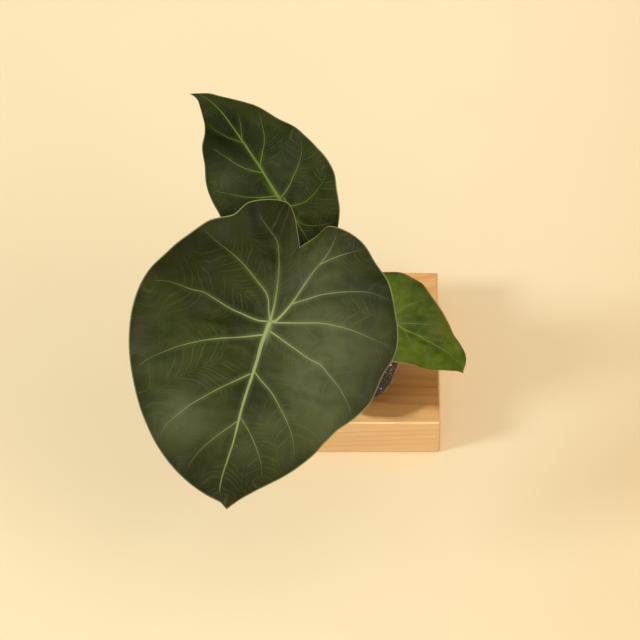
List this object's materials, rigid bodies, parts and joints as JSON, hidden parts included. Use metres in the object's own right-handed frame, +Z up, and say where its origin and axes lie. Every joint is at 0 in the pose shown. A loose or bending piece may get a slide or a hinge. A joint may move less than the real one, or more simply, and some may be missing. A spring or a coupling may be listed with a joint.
{
  "type": "potted alocasia",
  "caption": "Potted alocasia with shield-shaped leaves on arching petioles, in a clear nursery pot that stands on a square wooden block.",
  "frame": {"origin": "middle of the wooden block's bottom face", "axes": "+Z up, +X to the right and +Y to the back, both along the block's sides; the large leaf hangs over the front, -Y"},
  "size_m": [0.275, 0.3407, 0.2896],
  "materials": {
    "wood": "sanded pale softwood with straight grain",
    "clear_plastic": "thin clear moulded plastic",
    "potting_mix": "dark damp potting mix with white perlite",
    "stem_skin": "green-brown sheathed stem",
    "petiole_skin": "smooth satin stalk",
    "leaf_dark": "dark olive blade, satin, with pale veins",
    "leaf_young": "fresh green blade, satin, with pale veins"
  },
  "bodies": {
    "root": {"wood_block": "wood", "nursery_pot": "clear_plastic", "root_ball": "potting_mix", "stem_base": "stem_skin", "petiole_large": "petiole_skin", "petiole_upper": "petiole_skin", "petiole_small": "petiole_skin", "leaf_large": "leaf_dark", "leaf_upper": "leaf_dark", "leaf_small": "leaf_young"}
  },
  "joints": []
}
